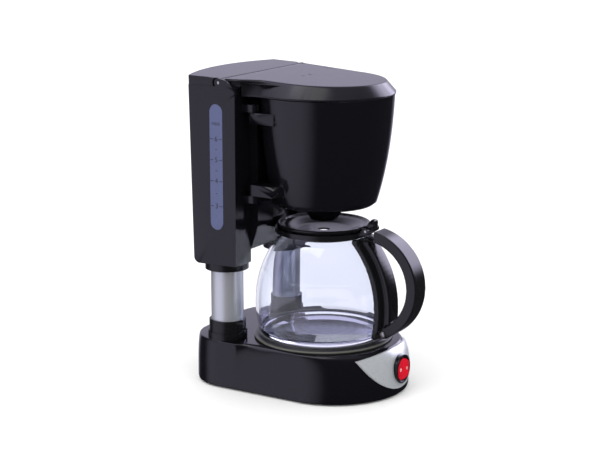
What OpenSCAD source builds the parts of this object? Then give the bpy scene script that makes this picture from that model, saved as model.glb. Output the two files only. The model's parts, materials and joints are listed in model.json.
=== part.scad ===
// Drip coffee maker with a side water gauge, a swing-out filter basket and a glass jug on a hot plate.
// Millimetres, +Z up. The row's origin is on the table, at the middle of the whole outline.
// Every module works in the brew frame, whose Z axis is the jug's and the filter's common axis.
// The front, where the switch and the jug's handle are, is -Y; the water gauge is on the -X side.

/* [Overall] */
// Table to the top of the tank lid, at its rear edge
total_h = 264.5; // [262:0.5:320]
// Half width of the water tank
tank_hw = 66; // [64:0.5:80]
// Brew axis to the rear of the base
rear_reach = 103; // [103:0.5:120]
// Brew axis to the front of the jug's handle
handle_reach = 91.5; // [90:0.5:110]
// Running clearance between a pin and its bore, on the radius
pin_fit = 0.05; // [0.02:0.01:0.1]
// Gap between neighbouring parts that don't touch
gap = 0.3; // [0.2:0.05:0.5]

/* [Base] */
// Height of the base's deck
base_h = 41; // [38:0.5:60]
// Half width of the base's foot print
base_hw = 63.5; // [62:0.5:76]
// Radius of the round front of the foot print
front_r = 64; // [62:0.5:70]
// Brew axis to the centre of that round front
front_back = 10; // [6:0.5:16]
// Half width of the deck at its waist
waist_hw = 55; // [50:0.5:60]
// Radius of the deck's round front
deck_front_r = 61; // [58:0.5:66]
// Radius of the base's rear corners
base_corner_r = 36; // [15:1:38]
// Wall of the moulded base
base_wall = 2.4; // [1.8:0.1:3]
// Height of the rubber feet
foot_h = 3; // [2:0.5:5]
// Table to the lower edge of the base's skirt
skirt_z = 1.5; // [1:0.5:2.5]

/* [Hot plate] */
// Radius of the hot plate's flange
plate_r = 58.8; // [58.5:0.1:60]
// Height of the plate's top over the deck
plate_rise = 4.5; // [3.5:0.5:7]
// Steel thickness of the plate
plate_t = 1.2; // [0.8:0.1:1.6]
// Radius of the heating element's bend
element_r = 34; // [28:0.5:38]
// Outer radius of the water tube under the element
water_tube_r = 3.6; // [3.2:0.1:4]

/* [Switch] */
// Radius of the round switch's bezel
bezel_r = 12; // [10:0.5:13]
// Height of the switch's centre
switch_z = 22.9; // [18:0.1:24]
// Radius of the rocker button
rocker_r = 9; // [7:0.5:9.5]
// Swing of the rocker between off and on
rocker_swing = 18; // [10:1:20]

/* [Columns] */
// Half distance between the two columns
column_x = 45.5; // [42:0.5:47]
// Brew axis to the columns
column_y = 67.5; // [66:0.5:70]
// Outer radius of a column's tube
column_r = 13.7; // [12:0.1:16.5]
// Wall of a column's tube
column_wall = 1; // [0.8:0.1:1.5]
// Wall of the collar at a column's foot
low_collar_wall = 1.8; // [1.3:0.1:3]
// Wall of the collar under the tank
high_collar_wall = 4.6; // [2:0.1:5]
// Table to the underside of the tank's feet
tank_z = 107; // [100:0.5:125]

/* [Water tank] */
// Brew axis to the flat front of the tank
tank_front = 45; // [43:0.5:47]
// Brew axis to the rear of the tank at its sides
tank_rear_side = 90; // [86:0.5:94]
// Brew axis to the rear of the tank at its middle
tank_rear = 103; // [98:0.5:105]
// How far the tank's rear leans in, from the lid's top down to the feet
tank_draft = 3.5; // [0:0.5:6]
// Rounding of the tank's lower rear edge
tank_corner = 5; // [2:0.5:8]
// Wall of the tank
tank_wall = 2.4; // [2:0.1:3]
// Drop of the tank's feet below its floor
tank_foot_h = 12; // [10:0.5:16]
// Seat of the lid, below the lid's rear edge
lid_drop = 8; // [7:0.5:10]
// Fall of the top towards the front, as a share of its length
top_fall = 0.036; // [0.02:0.002:0.05]
// Width of the water gauge
gauge_w = 12.6; // [10:0.1:16]
// Length of the water gauge
gauge_l = 104.4; // [80:0.1:110]
// Height of the gauge's lower end
gauge_z = 137.6; // [130:0.1:145]
// Brew axis to the gauge
gauge_y = 63.4; // [60:0.1:72]

/* [Lid and cover] */
// Brew axis to the lid's hinge
hinge_y = 61; // [60:0.5:64]
// Radius of the lid's hinge barrel
barrel_r = 3.6; // [3:0.1:4]
// Radius of the lid's hinge pins
lid_pin_r = 1.25; // [1:0.05:1.6]
// Thickness of the lid and of the cover
cover_t = 2.4; // [1.8:0.1:3]
// Radius of the cover's lower rim
cover_r = 59.2; // [58.8:0.1:60]
// Radius of the cover's flat top
cover_top_r = 51.5; // [48:0.5:54]
// Height of the cover's skirt at the front
skirt_h = 12; // [10:0.5:14]

/* [Filter basket] */
// Radius of the basket's rim
basket_r = 58.5; // [56:0.1:58.8]
// Radius of the basket's floor
basket_floor_r = 42.5; // [38:0.5:46]
// Height of the basket's underside
basket_z = 155.9; // [150:0.5:165]
// Brew axis to the flat back of the basket
basket_back = 31; // [29:0.5:33]
// Wall of the basket
basket_wall = 2.3; // [1.8:0.1:2.6]
// Side offset of the basket's hinge from the brew axis
swing_x = 52; // [50:0.5:53]
// Brew axis to the basket's hinge, towards the rear
swing_y = 36; // [35:0.5:38]
// Radius of the basket's hinge pins
swing_pin_r = 1.6; // [1.2:0.1:2]
// Radius of the drip nozzle at its lower end
nozzle_r = 11; // [9:0.5:13]
// Drop of the drip nozzle below the basket
nozzle_h = 13.6; // [8:0.1:13.6]

/* [Jug] */
// Radius of the jug's belly
belly_r = 57.8; // [54:0.1:58.4]
// Outer radius of the jug's neck
neck_r = 37.6; // [34:0.1:42]
// Height of the jug's glass
jug_h = 90; // [85:0.5:90]
// Thickness of the glass
glass_t = 2.2; // [1.6:0.1:3]
// Width of the handle's grip
grip_w = 19; // [16:0.5:26]
// Thickness of the grip's loop
grip_t = 9; // [7:0.5:14]
// Half width of the plate that holds the handle to the glass
back_hw = 15; // [10:0.5:18]

/* [Hidden] */
$fn = 96;

// The row's origin lies half way between the handle's front and the base's rear
brew_y = (handle_reach - rear_reach) / 2;
eps = 0.01;

// Deck and hot plate
plate_top = base_h + plate_rise;
plate_step_r = plate_r - 2.8;
seal_h = 1;
deck_hole_r = plate_r - 8.8;
deck_under = base_h - base_wall;
element_w = 8;
element_h = 7;
element_top = plate_top - plate_t;
element_leg = 16;
clamp_hw = element_r - 8;
thermostat_y = 18 - element_r;
water_z = element_top - element_h - water_tube_r - 0.1;
water_leg = 40;
hose_r = water_tube_r + 1;
hose_bore = water_tube_r + 0.05;
plate_z = foot_h;
floor_t = 2;
foot_r = 7;
foot_spots = [[-46, 70], [46, 70], [-40, -38], [40, -38]];
screw_spots = [[-50, 20], [50, 20], [-24, 90], [24, 90]];
screw_r = 1.5;
boss_r = 4;
gland_x = -18;
gland_z = 16;
gland_r = 6;
gland_bore = 3.6;
gland_l = 10;

// How much wider than its pin a seat is that the pin doesn't turn in, on the radius
pin_seat = 0.02;

// Switch
front_y = -(front_r + front_back);
bezel_t = 2.8;
bezel_hole = rocker_r + 0.8;
switch_depth = 20;
body_r = bezel_r - 1.2;
body_fit = 0.2;
trim_t = 1.5;
switch_face = front_y;
rocker_pivot = 5;
rocker_pin_r = 1.2;
trim_arc_r = 43.6;
trim_low = 7;
trim_top = base_h - 1;
trim_brow_r = 244;

// Columns
collar_fit = 0.1;
low_collar_r = column_r + low_collar_wall;
high_collar_r = column_r + high_collar_wall;
column_top = tank_z + 5;
collar_h = 16;
high_collar_h = 6;

// Tank
tank_floor = tank_z + tank_foot_h + 2.5;
tank_under = tank_z + tank_foot_h;
lid_seat = total_h - lid_drop;
rear_sag = tank_rear - tank_rear_side;
rear_arc_r = (tank_hw * tank_hw + rear_sag * rear_sag) / (2 * rear_sag);
rear_lean = atan(tank_draft / (total_h - tank_z));
panel_t = 3;
panel_corner = 14;
hose_hole = hose_r + 0.9;

// Top
hinge_z = top_z(hinge_y) - barrel_r;
ear_r = barrel_r;
cover_end = hinge_y - barrel_r - gap;
cover_low = top_z(0) - skirt_h;
vent_r = 1.2;

// Stem and basket
stem_hw = 43;
stem_front = 38;
stem_top = cover_low - 4.8;
basket_top = cover_low - 0.8;
spray_r = 24;
spray_h = 5;
spray_z = basket_top + 0.6;
hose_pass_z = spray_z + water_tube_r + 0.2;
recess_y = neck_r + 4.8;
recess_hw = sqrt(max(0, pow(recess_y, 2) - pow(stem_front, 2))) + 0.6;
lug_h = 6;
knuckle_r = 4;
lug_high = basket_top - 12;
lug_low = basket_z + 5.1;
pin_gap = 0.4;
arm_h = 9;
cone_z = basket_z + 14;
cone_floor_r = 30;
cone_t = 1.8;
ledge_z = basket_top - 4;
nozzle_z = basket_z - nozzle_h;
nozzle_top_r = nozzle_r + 9;
recess_top = basket_z - 4;
valve_bore = 4.4;
stem_r = 2.2;
seal_t = 1.4;
flange_z = basket_z + basket_wall + seal_t;
flange_r = 6;
flange_t = 1.6;
tip_z = nozzle_z - 2.4;

// Jug
jug_z = plate_top + 0.2;
jug_top = jug_z + jug_h;
glass_fit = 0.2;
collar_low = jug_top - 4;
lid_z = jug_top + glass_fit + 0.3;
lid_rim_r = neck_r + 1.6;
plug_r = neck_r - glass_t - 1.4;
lid_pin_y = -(neck_r + 7.1);
lid_pin_z = lid_z + 1.6;
lid_knuckle_r = 2.6;
lid_pin_bore = 1.1;
tab_hw = 5.6;
dish_r = 20;
dish_hole_r = 5;
loop_mid = [-(handle_reach - 47), jug_z + 46.3];
loop_r = 47;
back_t = 5;
handle_low = jug_z + 3;
handle_screw_y = -belly_r - 3.5;
handle_screw_z = handle_low + 3.5;

// Height of the sloping top at a distance behind the brew axis
function top_z(y) = total_h - top_fall * (tank_rear - y);

function arc(c, r, a0, a1, n) =
    [for (i = [0 : n]) let (a = a0 + (a1 - a0) * i / n) [c[0] + r * cos(a), c[1] + r * sin(a)]];

function bezier(p, n) =
    [for (i = [0 : n]) let (t = i / n, s = 1 - t)
        s * s * s * p[0] + 3 * s * s * t * p[1] + 3 * s * t * t * p[2] + t * t * t * p[3]];

function unit(v) = v / norm(v);

// Closes a left half outline, which has no point on x = 0, with its mirror image
function both_sides(half) =
    concat(half, [for (i = [len(half) - 1 : -1 : 0]) [-half[i][0], half[i][1]]]);

// Moves each point of an anticlockwise outline inwards
function inset(pts, d) = let (n = len(pts))
    [for (i = [0 : n - 1])
        let (t = unit(pts[(i + 1) % n] - pts[(i + n - 1) % n])) pts[i] + d * [-t[1], t[0]]];

function blend(a, b, f) = [for (i = [0 : len(a) - 1]) a[i] * (1 - f) + b[i] * f];

function at_z(pts, z) = [for (p = pts) [p[0], p[1], z]];

// Rings of a round tube along a path that never runs along X
function tube_rings(path, r, n) = let (m = len(path))
    [for (k = [0 : m - 1])
        let (t = unit(path[min(k + 1, m - 1)] - path[max(k - 1, 0)]),
             u = unit([1, 0, 0] - t[0] * t),
             v = cross(t, u))
        [for (i = [0 : n - 1]) path[k] + r * cos(360 * i / n) * u + r * sin(360 * i / n) * v]];

// Skins a stack of rings, each anticlockwise as seen from the next one
module loft(rings) {
    n = len(rings[0]);
    m = len(rings);
    points = [for (r = rings) each r];
    sides = [for (k = [0 : m - 2]) for (i = [0 : n - 1])
        let (a = k * n + i, b = k * n + (i + 1) % n) each [[a, a + n, b + n], [a, b + n, b]]];
    caps = [[for (i = [0 : n - 1]) i], [for (i = [n - 1 : -1 : 0]) (m - 1) * n + i]];
    polyhedron(points, concat(sides, caps), convexity = 6);
}

module at_brew() { translate([0, brew_y, 0]) children(); }
module both() { children(); mirror([1, 0, 0]) children(); }
module ring(r_out, r_in, h) {
    difference() { cylinder(r = r_out, h = h); translate([0, 0, -1]) cylinder(r = r_in, h = h + 2); }
}
module disc_at(p, r, z0, z1) { translate([p[0], p[1], z0]) cylinder(r = r, h = z1 - z0); }
module along_y(x, y, z, r, l) { translate([x, y, z]) rotate([-90, 0, 0]) cylinder(r = r, h = l); }
module along_x(x, y, z, r, l) { translate([x, y, z]) rotate([0, 90, 0]) cylinder(r = r, h = l); }

// ---- Base ----

// Left half of the foot print, from the rear to the front
function foot_half() = concat(
    [[-8, rear_reach]],
    arc([-(base_hw - base_corner_r), rear_reach - base_corner_r], base_corner_r, 90, 180, 8),
    [for (y = [rear_reach - 44, 50, 47, 43.5, 38, 30, 20, 8]) [-base_hw, y]],
    [for (p = arc([0, -front_back], front_r, 186, 270, 15)) if (p[0] < -eps) p]);

// Left half of the deck, with the crease where the block under the tank meets the waist
function deck_half() = concat(
    [[-8, rear_reach - 1.5]],
    arc([-(base_hw - base_corner_r), rear_reach - base_corner_r - 1.5], base_corner_r - 0.6,
        90, 180, 8),
    [[-base_hw + 0.6, rear_reach - 44], [-base_hw + 0.6, 50], [-base_hw + 1.2, 47],
     [-waist_hw - 2.2, 43.5], [-waist_hw - 1, 38], [-waist_hw, 30], [-waist_hw - 0.3, 20],
     [-waist_hw - 3, 8]],
    [for (p = arc([0, -4], deck_front_r, 186, 270, 15)) if (p[0] < -eps) p]);

// Height as a share of the base's, how far the outline has gone over to the deck's, and inset
base_levels = [[skirt_z / base_h, 0, 0.6], [0.075, 0, 0], [0.34, 0.03, 0], [0.54, 0.09, 0], [0.73, 0.24, 0],
               [0.86, 0.45, 0], [0.94, 0.68, 0], [0.985, 0.88, 0], [1, 1, 0.9]];

function base_rings(d) = let (foot = both_sides(foot_half()), deck = both_sides(deck_half()))
    [for (l = base_levels) at_z(inset(blend(foot, deck, l[1]), l[2] + d), l[0] * base_h)];

// Height, share of the deck's outline and inset of the hollow under the deck, from its ceiling down
cavity_levels = [[deck_under, 0.75], [0.7 * base_h, 0.3], [0.3 * base_h, 0], [skirt_z, 0]];

function cavity_rings() = let (foot = both_sides(foot_half()), deck = both_sides(deck_half()))
    [for (l = cavity_levels) at_z(inset(blend(foot, deck, l[1]), base_wall), l[0])];

module base_housing() {
    color("#1b1a20") at_brew() difference() {
        union() {
            loft(concat(cavity_rings(), base_rings(0)));
            for (p = screw_spots) disc_at(p, boss_r, plate_z + floor_t, deck_under + eps);
            along_y(gland_x, rear_reach - gland_l, gland_z, gland_r + 2, gland_l - base_wall / 2);
        }
        disc_at([0, 0], deck_hole_r, deck_under - 1, base_h + 1);
        for (p = screw_spots) disc_at(p, screw_r + 0.05, plate_z, plate_z + 16);
        along_y(gland_x, rear_reach - gland_l - 1, gland_z, gland_r + pin_fit, gland_l + 2);
        along_y(0, front_y - 6, switch_z, body_r + body_fit, 20);
        for (s = [-1, 1]) disc_at([s * column_x, column_y], column_r + pin_fit, deck_under - 1, base_h + 1);
    }
}

module bottom_plate() {
    color("#222126") at_brew() difference() {
        translate([0, 0, plate_z]) linear_extrude(floor_t) polygon(inset(both_sides(foot_half()),
                                                                         base_wall + gap));
        for (p = screw_spots) disc_at(p, screw_r + 0.3, 0, plate_z + floor_t + 1);
        for (p = foot_spots) disc_at(p, 2.5, 0, plate_z + floor_t + 1);
        for (x = [-20 : 8 : 20]) translate([x - 1.5, -12, 0]) cube([3, 40, plate_z + floor_t + 1]);
    }
}

module rubber_feet() {
    color("#2c2c2c") at_brew() for (p = foot_spots) {
        disc_at(p, foot_r, 0, foot_h);
        disc_at(p, 2.45, foot_h, foot_h + floor_t);
    }
}

module bottom_screws() {
    color("silver") at_brew() for (p = screw_spots) {
        disc_at(p, screw_r, plate_z - 1, plate_z + 14);
        disc_at(p, 2.8, plate_z - 2, plate_z);
    }
}

module cord_gland() {
    color("#202020") at_brew() difference() {
        along_y(gland_x, rear_reach - gland_l, gland_z, gland_r, gland_l);
        along_y(gland_x, rear_reach - gland_l - 1, gland_z, gland_bore, gland_l + 2);
    }
}

module terminal_block() {
    color("#d8d4c8") at_brew() translate([-14, 74, plate_z + floor_t]) difference() {
        cube([30, 14, 12]);
        for (x = [5, 15, 25]) {
            translate([x, -1, 6]) rotate([-90, 0, 0]) cylinder(r = 1.8, h = 16);
            translate([x, 7, 6]) cylinder(r = 1.4, h = 10);
        }
    }
}

// ---- Hot plate and heater ----

module hot_plate() {
    color("#26262a") at_brew() rotate_extrude() polygon([
        [0, element_top], [0, plate_top], [plate_step_r - 1, plate_top],
        [plate_step_r, plate_top - 1], [plate_step_r, base_h + seal_h + plate_t],
        [plate_r, base_h + seal_h + plate_t], [plate_r, base_h + seal_h],
        [plate_step_r - plate_t, base_h + seal_h], [plate_step_r - plate_t, element_top]]);
}

module hot_plate_seal() {
    color("#5a5a5a") at_brew() translate([0, 0, base_h]) ring(plate_r - 0.5, deck_hole_r + 2, seal_h);
}

module bend_and_legs(r, leg) {
    rotate([0, 0, 180]) rotate_extrude(angle = 180) translate([r, 0]) children();
    for (s = [-1, 1]) translate([s * r, 0, 0]) rotate([-90, 0, 0]) linear_extrude(leg)
        mirror([0, 1, 0]) children();
}

module heating_element() {
    color("#9c9ea0") at_brew() {
        translate([0, 0, element_top - element_h / 2])
            bend_and_legs(element_r, element_leg) square([element_w, element_h], center = true);
        for (s = [-1, 1]) along_y(s * element_r, element_leg, element_top - element_h / 2, 1.6, 9);
    }
}

module water_tube() {
    color("#b9bbbd") at_brew() translate([0, 0, water_z]) difference() {
        bend_and_legs(element_r, water_leg) circle(r = water_tube_r);
        bend_and_legs(element_r, water_leg + 1) circle(r = water_tube_r - 0.9);
    }
}

module element_clamp() {
    color("#a0a0a4") at_brew() difference() {
        union() {
            translate([-clamp_hw, -6, element_top - element_h + 1]) cube([2 * clamp_hw, 12, 1.5]);
            for (s = [-1, 1]) translate([s * (clamp_hw - 3) - 3, -6, element_top - element_h + 1])
                cube([6, 12, element_h - 1]);
        }
        disc_at([0, 0], 2.2, 0, plate_top);
    }
}

module clamp_screw() {
    color("silver") at_brew() {
        disc_at([0, 0], 2, element_top - element_h - 1, element_top);
        disc_at([0, 0], 3.6, element_top - element_h - 3, element_top - element_h + 1);
    }
}

module thermostat() {
    color("#c9b28a") at_brew() {
        disc_at([0, thermostat_y], 8, element_top - 6, element_top);
        for (s = [-1, 1]) translate([s * 5 - 1.5, thermostat_y - 0.4, element_top - 13]) cube([3, 0.8, 7]);
    }
}

module thermal_fuse() {
    color("#e8e4d8") at_brew() {
        along_x(-10, 15, element_top - 3, 2.6, 20);
        along_x(-16, 15, element_top - 3, 0.7, 6);
        along_x(10, 15, element_top - 3, 0.7, 6);
    }
}

// ---- Front trim and switch ----

module trim_outline() {
    intersection() {
        translate([0, trim_low + trim_arc_r]) circle(r = trim_arc_r);
        translate([0, trim_top - trim_brow_r]) circle(r = trim_brow_r, $fn = 240);
    }
}

module front_trim() {
    color("#cfd3d8") at_brew() difference() {
        intersection() {
            loft(base_rings(-trim_t));
            translate([0, -front_back, 0]) rotate([90, 0, 0]) linear_extrude(120) trim_outline();
        }
        loft(base_rings(-eps));
        along_y(0, front_y - 6, switch_z, body_r + body_fit, 20);
    }
}

module switch_body() {
    color("#141414") at_brew() difference() {
        union() {
            along_y(0, switch_face - trim_t - bezel_t / 2, switch_z, bezel_r, bezel_t / 2);
            along_y(0, switch_face - trim_t - eps, switch_z, body_r, switch_depth);
            for (x = [-6, 0, 6])
                translate([x - 0.4, switch_face - trim_t + switch_depth - 0.5, switch_z - 3.2])
                    cube([0.8, 8, 6.4]);
        }
        along_y(0, switch_face - 9, switch_z, bezel_hole, 17);
        disc_at([0, rocker_axis_y()], rocker_pin_r + pin_fit,
                switch_z - body_r + 1.2, switch_z + body_r - 1.2);
    }
}

function rocker_axis_y() = switch_face - trim_t - bezel_t / 2 + rocker_pivot;

module switch_pin() {
    color("silver") at_brew()
        disc_at([0, rocker_axis_y()], rocker_pin_r, switch_z - body_r + 1.25, switch_z + body_r - 1.25);
}

// At rest the switch is off: the rocker leans by half its swing
module switch_rocker() {
    color("#c8102e") at_brew() translate([0, rocker_axis_y(), switch_z]) rotate([0, 0, -rocker_swing / 2])
        difference() {
            intersection() {
                along_y(0, -rocker_pivot - 2, 0, rocker_r, rocker_pivot + 5);
                translate([0, 0, -rocker_r]) cylinder(r = rocker_r + 0.3, h = 2 * rocker_r);
                translate([0, 0, -rocker_r]) linear_extrude(2 * rocker_r) polygon([
                    [-rocker_r, 2.6], [rocker_r, 2.6], [rocker_r, -rocker_pivot - 1.1],
                    [0, -rocker_pivot + 0.4], [-rocker_r, -rocker_pivot - 1.1]]);
            }
            translate([0, 0, -rocker_r - 1]) cylinder(r = rocker_pin_r + pin_fit, h = 2 * rocker_r + 2);
        }
}

// ---- Columns ----

module lower_collars() {
    color("#161618") at_brew() for (s = [-1, 1]) translate([s * column_x, column_y, base_h]) {
        ring(low_collar_r, column_r + collar_fit, collar_h);
        ring(low_collar_r + 1.2, column_r + collar_fit, 6);
    }
}

module column_tubes() {
    color("#b4b7ba") at_brew() for (s = [-1, 1])
        translate([s * column_x, column_y, deck_under])
            ring(column_r, column_r - column_wall, column_top - deck_under);
}

module upper_collars() {
    color("#161618") at_brew() for (s = [-1, 1]) translate([s * column_x, column_y, tank_z - high_collar_h])
        ring(high_collar_r, column_r + collar_fit, high_collar_h);
}

// ---- Water tank ----

// The tank's outside, moved inwards by d: flat front and sides, and a leaning round rear
module tank_form(d, low, high) {
    r = rear_arc_r - d;
    depth = (total_h - tank_z - rear_arc_r * sin(rear_lean)) / cos(rear_lean);
    intersection() {
        translate([-tank_hw + d, tank_front + d, low]) cube([2 * (tank_hw - d), 100, high - low]);
        translate([0, tank_rear - rear_arc_r, total_h]) rotate([-rear_lean, 0, 0]) rotate_extrude($fn = 180)
            polygon(concat([[0, -depth]], arc([r - tank_corner, tank_corner - depth], tank_corner, -90, 0, 8),
                           [[r, 20], [0, 20]]));
    }
}

module tank_foot() {
    intersection() {
        tank_form(0, tank_z, tank_under + 1);
        translate([0, 0, tank_z]) linear_extrude(tank_foot_h) union() {
            translate([-column_x, column_y]) circle(r = high_collar_r + 0.4);
            translate([-tank_hw, tank_front]) square([tank_hw - stem_hw, 60]);
            translate([-column_x - 1, column_y]) square([14, 60]);
            translate([-tank_hw, column_y]) square([30, 60]);
        }
    }
}

// Side view, with Y to the right, of the panel beside the cover and the lid's hinge
module panel_ear() {
    ear_top = top_z(tank_front);
    intersection() {
        hull() {
            translate([tank_front + panel_corner, ear_top - panel_corner]) circle(r = panel_corner, $fn = 64);
            translate([hinge_y, hinge_z]) circle(r = ear_r, $fn = 48);
            translate([tank_front, lid_seat - 20]) square([hinge_y - tank_front, 1]);
        }
        union() {
            translate([0, lid_seat - 20]) square([hinge_y, 60]);
            translate([hinge_y, hinge_z]) circle(r = ear_r, $fn = 48);
        }
    }
}

module gauge_slot(d, x0, x1) {
    translate([0, gauge_y, 0]) rotate([90, 0, -90]) translate([0, 0, -x1]) linear_extrude(x1 - x0)
        for (z = [gauge_z + gauge_w / 2, gauge_z + gauge_l - gauge_w / 2])
            translate([0, z]) circle(r = gauge_w / 2 - d);
    translate([x0, gauge_y - gauge_w / 2 + d, gauge_z + gauge_w / 2])
        cube([x1 - x0, gauge_w - 2 * d, gauge_l - gauge_w]);
}

module tank_housing() {
    color("#232228") at_brew() difference() {
        union() {
            difference() {
                tank_form(0, tank_under, lid_seat);
                tank_form(tank_wall, tank_floor, lid_seat + 1);
                for (x = [-tank_hw - 1, tank_hw - panel_t]) translate([x, tank_front - 1, lid_seat - 20])
                    cube([panel_t + 1, hinge_y - tank_front + 1, 60]);
            }
            both() tank_foot();
            for (x = [-tank_hw, tank_hw - panel_t])
                translate([x, 0, 0]) rotate([90, 0, 90]) linear_extrude(panel_t) panel_ear();
        }
        for (s = [-1, 1]) {
            disc_at([s * column_x, column_y], column_r + collar_fit, tank_z - 1, column_top);
            disc_at([s * column_x, column_y], 9, column_top - 1, tank_under);
            disc_at([s * column_x, column_y], hose_hole, tank_under - 1, tank_floor + 1);
        }
        along_x(-tank_hw - 1, hinge_y, hinge_z, lid_pin_r + pin_seat, 2 * tank_hw + 2);
        gauge_slot(0, -tank_hw - 1, -tank_hw + panel_t + 1);
        along_y(0, tank_front - 1, hose_pass_z, hose_hole, tank_wall + 2);
    }
}

module water_gauge() {
    color("#6d77a0") at_brew() gauge_slot(0.1, -tank_hw, -tank_hw + tank_wall);
}

module hose_grommets() {
    color("#3a3a3c") at_brew() for (s = [-1, 1]) translate([s * column_x, column_y, 0]) {
        translate([0, 0, tank_under]) ring(hose_hole - 0.02, hose_r + 0.03, tank_floor - tank_under);
        translate([0, 0, tank_floor]) ring(hose_hole + 2.5, hose_r + 0.03, 1.6);
    }
}

// From the water tube's leg, back under the deck and up through the left column
function cold_path() = concat(
    [[-element_r, 30, water_z]],
    bezier([[-element_r, water_leg, water_z], [-element_r, water_leg + 20, water_z],
            [-column_x, column_y, water_z - 4], [-column_x, column_y, base_h + 16]], 12),
    [[-column_x, column_y, tank_floor + 1.5]]);

// The other leg's hose goes up the right column, through the tank and forward to the spray head
function hot_path() = concat(
    [[element_r, 30, water_z]],
    bezier([[element_r, water_leg, water_z], [element_r, water_leg + 20, water_z],
            [column_x, column_y, water_z - 4], [column_x, column_y, base_h + 16]], 12),
    bezier([[column_x, column_y, lid_seat - 44], [column_x, column_y, lid_seat - 8],
            [0, column_y - 3.5, hose_pass_z - 1.7], [0, tank_front + 5.4, hose_pass_z]], 14),
    [[0, stem_front - 2, hose_pass_z]]);

module hose(path) {
    last = len(path) - 1;
    longer = concat([2 * path[0] - path[1]], [for (i = [1 : last - 1]) path[i]],
                    [path[last] + 0.2 * (path[last] - path[last - 1])]);
    difference() {
        loft(tube_rings(path, hose_r, 20));
        loft(tube_rings(longer, hose_bore + 0.06, 20));
    }
}

module cold_hose() { color("#dcdcd6") at_brew() hose(cold_path()); }
module hot_hose() { color("#dcdcd6") at_brew() hose(hot_path()); }

module check_valve() {
    color("#e6e2d4") at_brew() translate([-column_x, column_y, tank_floor]) difference() {
        union() {
            translate([0, 0, -12]) cylinder(r = water_tube_r - 0.1, h = 15);
            translate([0, 0, 1.7]) cylinder(r = hose_r + 1.4, h = 2.2);
        }
        translate([0, 0, -13]) cylinder(r = 1.9, h = 8);
        translate([0, 0, -8]) cylinder(r = 2.8, h = 9);
        translate([0, 0, 0]) cylinder(r = 1.9, h = 5);
    }
}

// ---- Spray head, cover and lid ----

module spray_head() {
    color("#2b2b2e") at_brew() difference() {
        union() {
            disc_at([0, 0], spray_r, spray_z, spray_z + spray_h);
            along_y(0, spray_r - 5, hose_pass_z, water_tube_r, tank_front - spray_r + 5);
        }
        disc_at([0, 0], spray_r - 1.6, spray_z + 1.4, spray_z + spray_h - 1.4);
        along_y(0, spray_r - 3, hose_pass_z, water_tube_r - 1.2, 60);
        for (a = [0 : 60 : 300]) disc_at([14 * cos(a), 14 * sin(a)], 1.1, 0, spray_z + 2);
        disc_at([0, 0], 1.1, 0, spray_z + 2);
    }
}

// Left half of the cover, from its rear to its front, at the top and at its lower rim.
// The first four points stand over the tank, where the rim steps up to clear the tank's walls.
cover_rear = cover_end - 0.7;
cover_step = tank_front - 2;
cover_side = tank_hw - panel_t - gap;

function cover_top_half() = concat(
    [[-cover_side, cover_rear], [-cover_side + 1.1, 50], [7.4 - tank_hw, cover_step + 1],
     [8.5 - tank_hw, cover_step], [8.6 - tank_hw, cover_step - 0.1], [-54.5, 39], [-50.5, 31], [-49.5, 24],
     [-50.5, 16]],
    [for (p = arc([0, 0], cover_top_r, 174, 270, 36)) if (p[0] < -eps) p]);

function cover_low_half() = concat(
    [[-cover_side, cover_rear], [-cover_side + 0.8, 50], [6.3 - tank_hw, cover_step + 1],
     [7.1 - tank_hw, cover_step], [7.2 - tank_hw, cover_step - 0.1], [-56.5, 39], [-55, 31], [-56, 24],
     [-57.8, 15]],
    [for (p = arc([0, 0], cover_r, 174, 270, 36)) if (p[0] < -eps) p]);

function low_rim(pts, z) = let (n = len(pts))
    [for (i = [0 : n - 1]) [pts[i][0], pts[i][1], i < 4 || i >= n - 4 ? max(z, lid_seat + 0.1) : z]];

// Keeps the cover's inside in front of the tank, but for the rear points that stand over it
function clear_of_tank(pts) = let (n = len(pts))
    [for (i = [0 : n - 1])
        [pts[i][0], i < 4 || i >= n - 4 ? pts[i][1] : min(pts[i][1], tank_front - gap)]];

function on_top(pts, d) = [for (p = pts) [p[0], p[1], top_z(p[1]) - d]];

module top_cover() {
    top = both_sides(cover_top_half());
    low = both_sides(cover_low_half());
    low_in = clear_of_tank(inset(low, cover_t));
    color("#2b2a31") at_brew() difference() {
        loft([on_top(clear_of_tank(inset(top, cover_t)), cover_t), low_rim(low_in, cover_low + 1.6),
              low_rim(low_in, cover_low), low_rim(low, cover_low),
              low_rim(low, cover_low + 1.4), on_top(inset(top, -0.9), 1.4), on_top(inset(top, -0.35), 0.65),
              on_top(inset(top, 0.5), 0.15), on_top(inset(top, 1.6), 0)]);
        for (s = [-1, 1]) disc_at([s * 5.5, 17], vent_r, top_z(0) - 8, total_h + 1);
    }
}

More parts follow.
